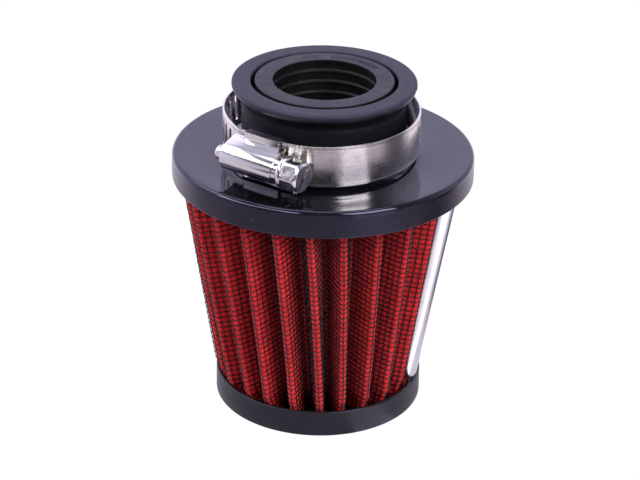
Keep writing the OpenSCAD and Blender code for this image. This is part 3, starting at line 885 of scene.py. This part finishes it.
def to_world(P):
    """From the clamp's frame (X out through the housing, Y along the screw, Z up) to the filter's, in millimetres."""
    P = np.asarray(P, float)
    c, s = math.cos(CAZ), math.sin(CAZ)
    return np.stack([P[..., 0] * c - P[..., 1] * s, P[..., 0] * s + P[..., 1] * c, P[..., 2]], -1) + CC


BR, BT, FQ, FA, JA = 26.9, 0.55, 16.4, math.radians(23), math.radians(30)
FLAT_OUT = math.hypot(BR * math.cos(FA) + FQ, BR * math.sin(FA))
FLAT_IN = math.hypot((BR - BT) * math.cos(FA) + FQ, (BR - BT) * math.sin(FA))
TAIL_IN = FLAT_OUT + 0.05
TAIL_OUT = TAIL_IN + BT
SCREW_N = TAIL_OUT - FQ + 0.42 + 3.0
N0 = TAIL_OUT - FQ + 0.06


def band_path():
    """Outer surface of the band, from the fixed end round to the free end: points and outward normals each 0.2 mm."""
    pts = []
    R = FLAT_OUT
    for a in np.linspace(-math.asin(8.0 / R), math.asin(BR * math.sin(FA) / R), 100):
        pts.append((-FQ + R * math.cos(a), R * math.sin(a)))
    for a in np.linspace(FA, 2 * math.pi - JA, 800)[1:]:
        pts.append((BR * math.cos(a), BR * math.sin(a)))
    R = TAIL_OUT
    a0, a1 = math.asin(-9.0 / R), math.asin(12.6 / R)
    for a in np.linspace(a0, a1, 110):
        pts.append((-FQ + R * math.cos(a), R * math.sin(a)))
    pts = np.array(pts)
    L = np.concatenate([[0], np.cumsum(np.linalg.norm(np.diff(pts, axis=0), axis=1))])
    s = np.linspace(0, L[-1], int(L[-1] / 0.2) + 1)
    P = np.stack([np.interp(s, L, pts[:, 0]), np.interp(s, L, pts[:, 1])], -1)
    for _ in range(10):
        P[1:-1] = 0.25 * P[:-2] + 0.5 * P[1:-1] + 0.25 * P[2:]
    T = np.gradient(P, axis=0)
    T /= np.linalg.norm(T, axis=1, keepdims=True)
    return s, P, np.stack([T[:, 1], -T[:, 0]], -1)


BS, BP, BN = band_path()
S_END = BS[-1]


def band_surface(s, w, d):
    """A point of the band: s along it, w across it, d in from its outer face."""
    P = np.stack([np.interp(s, BS, BP[:, 0]), np.interp(s, BS, BP[:, 1])], -1)
    N = np.stack([np.interp(s, BS, BN[:, 0]), np.interp(s, BS, BN[:, 1])], -1)
    N /= np.linalg.norm(N, axis=-1, keepdims=True)
    Q = P - N * np.asarray(d)[..., None]
    return np.concatenate([Q, np.asarray(w)[..., None]], -1)


def clamp_band():
    HW, slot_hw, slot_hl = 5.8, 0.65, 3.8
    slots = [S_END - 3.4 * (i + 1) for i in range(20)]
    bounds = []
    lo = slots[-1] - 1.7
    for s0 in slots[::-1]:
        bounds.append((s0 - 1.7, s0 + 1.7, s0))
    Vs, Fs, k = [], [], 0
    # rings of points from the cell's border in to the slot's edge and down through the sheet
    ns, nw = 6, 12

    def border(a, b, w):
        """Loop round a rectangle: along -w from a to b, up, back, down."""
        p = [(x, -w) for x in np.linspace(a, b, ns, endpoint=False)]
        p += [(b, x) for x in np.linspace(-w, w, nw, endpoint=False)]
        p += [(x, w) for x in np.linspace(b, a, ns, endpoint=False)]
        p += [(a, x) for x in np.linspace(w, -w, nw, endpoint=False)]
        return np.array(p)

    def slot_loop(c, grow):
        """Rounded slot outline with the same number of points, leaning 5 degrees."""
        hw, hl = slot_hw + grow, slot_hl + grow
        r = hw * 0.75
        q = border(-hw, hw, hl)
        out = []
        for x, y in q:
            cx, cy = np.clip(x, -(hw - r), hw - r), np.clip(y, -(hl - r), hl - r)
            dx, dy = x - cx, y - cy
            n = math.hypot(dx, dy)
            if n > r:
                dx, dy = dx * r / n, dy * r / n
            out.append((cx + dx, cy + dy))
        out = np.array(out)
        t = math.radians(5)
        return np.stack([c + out[:, 0] * math.cos(t) + out[:, 1] * math.sin(t), -out[:, 0] * math.sin(t) + out[:, 1] * math.cos(t)], -1)

    EDGE = [(5.8, 0.16), (5.76, 0.06), (5.66, 0.0)]
    for a, b, c in bounds:
        loops = [
            (border(a, b, 5.0), 0.05), (slot_loop(c, 0.35), 0.05), (slot_loop(c, 0.10), 0.05), (slot_loop(c, 0.03), 0.08),
            (slot_loop(c, 0.0), 0.16), (slot_loop(c, 0.0), BT - 0.14), (slot_loop(c, 0.03), BT - 0.04), (slot_loop(c, 0.10), BT),
            (slot_loop(c, 0.35), BT), (border(a, b, 5.0), BT),
        ]
        m = len(loops[0][0])
        P = np.stack([band_surface(q[:, 0], q[:, 1], np.full(len(q), d)) for q, d in loops])
        Vs.append(P.reshape(-1, 3))
        Fs.append(grid_faces(len(loops), m, False, True, k)[:, ::-1])
        k += len(loops) * m
    # plain part, one strip from the fixed end to the first slotted cell
    start = bounds[0][0]
    ss = np.concatenate([np.arange(0.0, start, 0.55), [start]])
    ww = np.linspace(-5.0, 5.0, nw + 1)
    for d, flip in ((0.05, False), (BT, True)):
        S, W = np.meshgrid(ss, ww, indexing="ij")
        P = band_surface(S, W, np.full(S.shape, d))
        Vs.append(P.reshape(-1, 3))
        f = grid_faces(len(ss), len(ww), False, False, k)
        Fs.append(f if flip else f[:, ::-1])
        k += P.shape[0] * P.shape[1]
    # the two edges, with their low raised borders, along the whole band
    cols = [ss]
    for a, b, c in bounds:
        cols.append(np.linspace(a, b, ns + 1)[1:])
    sa = np.concatenate(cols)
    for sg in (1, -1):
        prof = [(5.0, 0.05), (5.10, 0.035), (5.22, 0.0), (5.62, 0.0), (5.74, 0.04), (5.8, 0.16), (5.8, BT - 0.16), (5.74, BT - 0.04), (5.62, BT), (5.0, BT)]
        P = np.stack([band_surface(sa, np.full(len(sa), sg * w), np.full(len(sa), d)) for w, d in prof], 1)
        Vs.append(P.reshape(-1, 3))
        f = grid_faces(len(sa), len(prof), False, False, k)
        Fs.append(f[:, ::-1] if sg > 0 else f)
        k += P.shape[0] * P.shape[1]
    # closing faces at the fixed end; the free end is closed at the end of its last stretch, below
    for s0, flip in ((0.0, False), (S_END - 1.7, True)):
        prof = [(w, 0.05) for w in ww]
        top = [(-5.8, BT - 0.16), (-5.8, 0.16), (-5.74, 0.04), (-5.62, 0.0), (-5.22, 0.0), (-5.10, 0.035)] + prof + [(5.10, 0.035), (5.22, 0.0), (5.62, 0.0), (5.74, 0.04), (5.8, 0.16), (5.8, BT - 0.16)]
        bot = [(-5.8, BT - 0.16), (-5.8, BT - 0.16), (-5.74, BT - 0.04), (-5.62, BT), (-5.62, BT), (-5.62, BT)] + [(w, BT) for w in ww] + [(5.62, BT)] * 3 + [(5.74, BT - 0.04), (5.8, BT - 0.16), (5.8, BT - 0.16)]
        if flip:
            continue
        A = np.array(top)
        B = np.array(bot)
        P = np.stack([band_surface(np.full(len(q), s0), q[:, 0], q[:, 1]) for q in (A, B)])
        Vs.append(P.reshape(-1, 3))
        f = grid_faces(2, len(top), False, False, k)
        Fs.append(f[:, ::-1])
        k += 2 * len(top)
    # the free end's last stretch, with its corners cut back
    s0 = S_END - 1.7
    tip = np.linspace(0, 1.7, 7)
    hw = 5.8 - np.where(tip > 0.5, (tip - 0.5) ** 1.6 * 1.5, 0.0)
    tipcols = []
    for t, q in zip(tip, hw):
        r = q / 5.8
        top = [(-5.8 * r, BT - 0.16), (-5.8 * r, 0.16), (-5.74 * r, 0.04), (-5.62 * r, 0.0), (-5.22 * r, 0.0), (-5.10 * r, 0.035)]
        top += [(w * r, 0.05) for w in ww]
        top += [(5.10 * r, 0.035), (5.22 * r, 0.0), (5.62 * r, 0.0), (5.74 * r, 0.04), (5.8 * r, 0.16), (5.8 * r, BT - 0.16)]
        bot = [(5.74 * r, BT - 0.04), (5.62 * r, BT)] + [(w * r, BT) for w in ww[::-1]] + [(-5.62 * r, BT), (-5.74 * r, BT - 0.04)]
        loop = np.array(top + bot)
        tipcols.append(band_surface(np.full(len(loop), s0 + t), loop[:, 0], loop[:, 1]))
    P = np.stack(tipcols)
    Vs.append(P.reshape(-1, 3))
    f = grid_faces(len(tip), P.shape[1], False, True, k)
    Fs.append(f[:, ::-1])
    m = P.shape[1]
    o = k + (len(tip) - 1) * m
    nt_ = 12 + len(ww)
    for i in range(nt_ - 1):
        pass
    Fs.append(np.array([[o + i for i in range(m)]][0:1]))
    k += P.shape[0] * m
    V = to_world(np.concatenate(Vs))
    return V, Fs


V, Fs = clamp_band()
by = {}
for f in Fs:
    by.setdefault(f.shape[1], []).append(f)
band = make("hose_clamp_band", V, [np.concatenate(v) for v in by.values()], M_BAND, rep=["clamp_band"])
bm = bmesh.new()
bm.from_mesh(band.data)
bmesh.ops.remove_doubles(bm, verts=bm.verts, dist=2e-6)
bmesh.ops.recalc_face_normals(bm, faces=bm.faces)
open_edges = sum(1 for e in bm.edges if not e.is_manifold)
bm.to_mesh(band.data)
bm.free()
band.data.set_sharp_from_angle(angle=math.radians(40))
print("band open edges", open_edges)


def from_cad(name, node, mat, bevel, body="filter", angle=30.0, seg=3):
    """A copy of a CAD node's shape with rolled edges and smooth curved faces."""
    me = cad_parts[node].data.copy()
    me.name = name
    bm = bmesh.new()
    bm.from_mesh(me)
    bmesh.ops.remove_doubles(bm, verts=bm.verts, dist=2e-6)
    bmesh.ops.dissolve_limit(bm, angle_limit=math.radians(0.6), verts=bm.verts, edges=bm.edges)
    bm.to_mesh(me)
    bm.free()
    me.materials.clear()
    me.materials.append(mat)
    ob = bpy.data.objects.new(name, me)
    bpy.context.scene.collection.objects.link(ob)
    mod = ob.modifiers.new("edges", "BEVEL")
    mod.width = bevel * MM
    mod.segments = seg
    mod.limit_method = "ANGLE"
    mod.angle_limit = math.radians(32)
    mod.miter_outer = "MITER_ARC"
    dg = bpy.context.evaluated_depsgraph_get()
    done = bpy.data.meshes.new_from_object(ob.evaluated_get(dg))
    ob.modifiers.clear()
    ob.data = done
    done.polygons.foreach_set("use_smooth", np.ones(len(done.polygons), bool))
    done.set_sharp_from_angle(angle=math.radians(angle))
    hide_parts(node)
    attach(ob, body)
    return ob


from_cad("screw_housing", "clamp_housing", M_HOUSING, 0.16)
from_cad("clamp_seat", "clamp_saddle", M_BAND, 0.08)


# ------------------------------------------------------------------ the screw
def screw_part(rows, n=72, hexed=None):
    """Rows (y, radius or function of angle) turned about the screw's axis, closed at both ends. Clamp frame."""
    th = np.arange(n) * 2 * math.pi / n
    V = []
    for y, r in rows:
        R = r(th) if callable(r) else np.full(n, float(r))
        V.append(np.stack([SCREW_N + R * np.cos(th), np.full(n, y), R * np.sin(th)], -1))
    V = np.stack(V)
    F = [grid_faces(len(rows), n, False, True)]
    V2 = V.reshape(-1, 3)
    ends = np.array([[SCREW_N, rows[0][0], 0], [SCREW_N, rows[-1][0], 0]])
    a, b = len(V2), len(V2) + 1
    t = []
    o = (len(rows) - 1) * n
    for i in range(n):
        t.append([a, (i + 1) % n, i])
        t.append([b, o + i, o + (i + 1) % n])
    return np.concatenate([V2, ends]), F + [np.array(t)]


HEX0 = math.radians(33)      # where a flat of the head faces at rest


def hex_r(af, limit=None):
    def f(th):
        a = (th - HEX0 + math.pi / 6) % (math.pi / 3) - math.pi / 6
        r = af / 2 / np.cos(a)
        corner = af / math.sqrt(3) - 0.10
        r = np.where(r > corner - 0.06, corner - 0.06 + (r - corner + 0.06) * 0.35, r)
        return np.minimum(r, limit) if limit is not None else r
    return f


def worm():
    """Thread of the worm: pitch 3.4 mm, right-hand, its crest inside the housing."""
    n, y0, y1, pitch, core, crest = 64, -7.9, 6.2, 3.4, 2.25, 3.0
    th = np.arange(n) * 2 * math.pi / n
    ys = np.arange(y0, y1 + 0.01, 0.17)
    V = []
    for y in ys:
        ph = ((y / pitch) + th / (2 * math.pi)) % 1.0
        d = np.abs(ph - 0.5) * 2
        h = np.clip((0.62 - d) / 0.30, 0, 1)
        h = h * h * (3 - 2 * h)
        fade = min(1.0, (y - y0) / 0.8, (y1 - y) / 0.8)
        R = core + (crest - core) * h * max(fade, 0.0)
        V.append(np.stack([SCREW_N + R * np.cos(th), np.full(n, y), R * np.sin(th)], -1))
    V = np.stack(V)
    F = [grid_faces(len(ys), n, False, True)]
    V2 = V.reshape(-1, 3)
    a, b = len(V2), len(V2) + 1
    ends = np.array([[SCREW_N, ys[0], 0], [SCREW_N, ys[-1], 0]])
    o = (len(ys) - 1) * n
    t = []
    for i in range(n):
        t.append([a, (i + 1) % n, i])
        t.append([b, o + i, o + (i + 1) % n])
    return np.concatenate([V2, ends]), F + [np.array(t)]


def tmp_object(name, V, F):
    me = bpy.data.meshes.new(name)
    me.from_pydata([tuple(v) for v in np.asarray(V) * MM], [], [list(map(int, q)) for f in F for q in f])
    me.update()
    ob = bpy.data.objects.new(name, me)
    bpy.context.scene.collection.objects.link(ob)
    bm = bmesh.new()
    bm.from_mesh(me)
    bmesh.ops.recalc_face_normals(bm, faces=bm.faces)
    bm.to_mesh(me)
    bm.free()
    return ob


AF = 7.94
head_rows = [(9.3, 3.90), (9.42, 4.20), (9.6, 4.38), (9.8, 4.50), (10.0, 4.58), (10.2, 4.62), (10.45, 4.63), (10.7, 4.60), (10.86, 4.54), (10.94, 4.47)]
head_rows += [(y, hex_r(AF)) for y in (11.0, 12.0, 13.0, 14.0, 14.7)]
head_rows += [(y, hex_r(AF, 4.62 - (y - 14.9) * 1.25)) for y in (14.9, 15.15, 15.35, 15.5)]
head_rows += [(15.62, hex_r(AF, 3.75)), (15.72, hex_r(AF, 3.6)), (15.78, 3.4), (15.8, 3.15), (15.8, 2.2), (15.8, 1.2)]
V, F = screw_part(head_rows, 120)
head = tmp_object("screw_head", V, F)
t = math.radians(51)
cutter = []
for y in (14.3, 17.3):
    for a, b in ((-6, -0.6), (6, -0.6), (6, 0.6), (-6, 0.6)):
        # the slot lies across the head, turned 51 degrees
        X = a * math.cos(t) - b * math.sin(t)
        Z = a * math.sin(t) + b * math.cos(t)
        cutter.append((SCREW_N + X, y, -Z))
cut = tmp_object("cutter", cutter, [np.array([[0, 1, 2, 3], [4, 5, 6, 7], [0, 1, 5, 4], [1, 2, 6, 5], [2, 3, 7, 6], [3, 0, 4, 7]])])
mod = head.modifiers.new("slot", "BOOLEAN")
mod.operation = "DIFFERENCE"
mod.solver = "EXACT"
mod.object = cut
bv = head.modifiers.new("edges", "BEVEL")
bv.width = 0.10 * MM
bv.segments = 2
bv.limit_method = "ANGLE"
bv.angle_limit = math.radians(50)
bpy.context.view_layer.update()
head_me = bpy.data.meshes.new_from_object(head.evaluated_get(bpy.context.evaluated_depsgraph_get()))
HV = np.array([v.co for v in head_me.vertices]) / MM
HF = {}
for p in head_me.polygons:
    HF.setdefault(len(p.vertices), []).append(list(p.vertices))
bpy.data.objects.remove(cut)
bpy.data.objects.remove(head)
parts = [(HV, [np.array(v) for v in HF.values()])]
parts.append(screw_part([(6.1, 2.3), (6.25, 2.5), (6.4, 2.58), (9.2, 2.58), (9.4, 2.4)]))
parts.append(worm())
parts.append(screw_part([(-12.1, 1.45), (-12.06, 1.6), (-11.9, 1.78), (-11.7, 1.92), (-11.5, 1.98), (-11.2, 2.0), (-7.95, 2.0), (-7.9, 1.95)]))
Vs, Fs, k = [], {}, 0
for V, F in parts:
    Vs.append(np.asarray(V))
    for f in F:
        Fs.setdefault(f.shape[1], []).append(np.asarray(f) + k)
    k += len(V)
V = to_world(np.concatenate(Vs))
screw = make("worm_screw", V, [np.concatenate(v) for v in Fs.values()], M_ZINC, body="screw", rep=["clamp_screw"])
bm = bmesh.new()
bm.from_mesh(screw.data)
bmesh.ops.recalc_face_normals(bm, faces=bm.faces)
bm.to_mesh(screw.data)
bm.free()
screw.data.set_sharp_from_angle(angle=math.radians(34))

# the adhesive beds keep their CAD shapes
for n in ("top_potting", "bottom_potting"):
    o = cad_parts[n]
    o.data.materials.clear()
    o.data.materials.append(M_ADH)

# --------------------------------------------------------- floor, light, camera
def plane(name, size, z, mat):
    me = bpy.data.meshes.new(name)
    me.from_pydata([(-size, -size, z), (size, -size, z), (size, size, z), (-size, size, z)], [], [(0, 1, 2, 3)])
    ob = bpy.data.objects.new(name, me)
    bpy.context.scene.collection.objects.link(ob)
    me.materials.append(mat)
    ob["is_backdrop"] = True
    return ob


def glow(name, build):
    m, nt, b = material(name)
    nt.nodes.remove(b)
    em = nt.nodes.new("ShaderNodeEmission")
    nt.links.new(em.outputs[0], nt.nodes["Material Output"].inputs["Surface"])
    build(G(nt), em)
    return m


def pale(g, em):
    g.link(g.mix(g.ramp(g.noise(5, 2.0, 0.5), 0.3, 0.7), (0.985, 0.985, 0.99), (1.0, 1.0, 1.0)), em.inputs[0])
    em.inputs[1].default_value = 1.02


def table(g, em):
    """The pale table as the filter sees it: bright behind, in shade in front, with a lit strip at the front right."""
    ang = g.math("ARCTAN2", g.x, g.math("MULTIPLY", g.y, -1.0))
    back = g.math("ABSOLUTE", ang)
    v = g.ramp(back, math.radians(92), math.radians(125), 0.70, 1.60)
    card = g.math("MULTIPLY", g.ramp(ang, math.radians(21), math.radians(22.5)), g.ramp(ang, math.radians(50.5), math.radians(49)))
    v = g.math("ADD", v, g.math("MULTIPLY", card, 0.75))
    # the lit table ends not far in front
    # and goes on at the sides
    near = g.math("MAXIMUM", g.ramp(g.radius(), 0.26, 0.42, 1.0, 0.12), g.ramp(back, math.radians(50), math.radians(66)))
    v = g.math("MULTIPLY", v, near)
    shade = g.math("MULTIPLY", g.ramp(ang, math.radians(62), math.radians(84)), g.ramp(ang, math.radians(116), math.radians(98)))
    # not right beside the cap, whose right end shows the lit table at its foot
    shade = g.math("MULTIPLY", shade, g.ramp(g.radius(), 0.045, 0.085))
    v = g.math("MULTIPLY", v, g.math("SUBTRACT", 1.0, g.math("MULTIPLY", shade, 0.8)))
    comb = g.nt.nodes.new("ShaderNodeCombineXYZ")
    for q, t in enumerate((0.957, 0.87, 1.0)):
        g.link(g.math("MULTIPLY", v, t), comb.inputs[q])
    g.link(comb.outputs[0], em.inputs[0])
    em.inputs[1].default_value = 1.0


floor = plane("floor", 4.0, 0.0, glow("pale_floor", pale))
floor.visible_diffuse = floor.visible_glossy = floor.visible_transmission = floor.visible_shadow = False
bounce = plane("floor_bounce", 4.0, -0.0003, glow("table_light", table))
bounce.visible_camera = False

world = bpy.data.worlds.new("studio")
bpy.context.scene.world = world
world.use_nodes = True
wt = world.node_tree
g = G(wt)
tcw = wt.nodes.new("ShaderNodeTexCoord")
sx = wt.nodes.new("ShaderNodeSeparateXYZ")
wt.links.new(tcw.outputs["Generated"], sx.inputs[0])
wv = g.ramp(sx.outputs[1], -0.45, 0.55, 0.16, 1.45)
wv = g.math("ADD", wv, g.math("MULTIPLY", g.ramp(sx.outputs[2], 0.5, 0.95), 0.15))
wv = g.math("MULTIPLY", wv, g.ramp(sx.outputs[0], 0.05, 0.45, 1.0, 0.82))
# the bright wall behind ends at about 35 degrees up, and a low pale screen stands at the left
wv = g.math("MULTIPLY", wv, g.ramp(sx.outputs[2], 0.56, 0.70, 1.0, 0.40))
low = g.math("MULTIPLY", g.ramp(sx.outputs[0], -0.62, -0.82), g.ramp(sx.outputs[2], 0.34, 0.26))
wv = g.math("ADD", wv, g.math("MULTIPLY", low, 0.5))
comb = wt.nodes.new("ShaderNodeCombineXYZ")
for q, t in enumerate((0.86, 0.82, 1.08)):
    g.link(g.math("MULTIPLY", wv, t), comb.inputs[q])
wt.links.new(comb.outputs[0], wt.nodes["Background"].inputs[0])
wt.nodes["Background"].inputs[1].default_value = 1.0


def softbox(name, az, el, dist, w, h, radiance, target=(0, 0, 0.06), colour=(1, 1, 1)):
    """A soft light of even radiance. az from the front towards the right, el above the floor, in degrees."""
    li = bpy.data.lights.new(name, "AREA")
    li.shape = "RECTANGLE"
    li.size, li.size_y = w, h
    li.energy = radiance * math.pi * w * h
    li.color = colour
    ob = bpy.data.objects.new(name, li)
    a, e = math.radians(az), math.radians(el)
    d = Vector((math.sin(a) * math.cos(e), -math.cos(a) * math.cos(e), math.sin(e)))
    ob.location = Vector(target) + d * dist
    ob.rotation_mode = "QUATERNION"
    ob.rotation_quaternion = (-d).to_track_quat("-Z", "Y")
    bpy.context.scene.collection.objects.link(ob)
    return ob


softbox("key_right", 40, 36, 1.0, 0.54, 0.58, 9.5)
softbox("key_left", -57, 42, 1.0, 1.10, 0.16, 12.0)
softbox("side_left", -110, 45, 1.0, 0.80, 0.34, 2.8)
softbox("top_back", 180, 80, 1.1, 0.8, 0.35, 4.0)

D, E = 650.6176, 0.474671
CAM = Vector((0, -D * math.cos(E), 40 + D * math.sin(E)))
TGT = Vector((-0.441864, 0, 46.138308))
fwd = (TGT - CAM).normalized()
right = fwd.cross(Vector((0, 0, 1))).normalized()
up = right.cross(fwd)
ro = 0.018585
r2 = right * math.cos(ro) + up * math.sin(ro)
u2 = up * math.cos(ro) - right * math.sin(ro)
cam = bpy.data.cameras.new("camera")
cam.lens = 2325.011 * 36 / 640
cam.sensor_width = 36
cam.clip_start, cam.clip_end = 0.01, 20
co = bpy.data.objects.new("camera", cam)
bpy.context.scene.collection.objects.link(co)
M = Matrix.Identity(4)
for i in range(3):
    M[i][0], M[i][1], M[i][2], M[i][3] = r2[i], u2[i], -fwd[i], CAM[i] * MM
co.matrix_world = M
bpy.context.scene.camera = co
vs = bpy.context.scene.view_settings
vs.view_transform = "Standard"
vs.look = "None"
vs.exposure = 0.0

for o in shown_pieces():
    me = o.data
    if o.type == "MESH":
        n = sum(len(p.vertices) - 2 for p in me.polygons)
        print("piece", o.name, n)
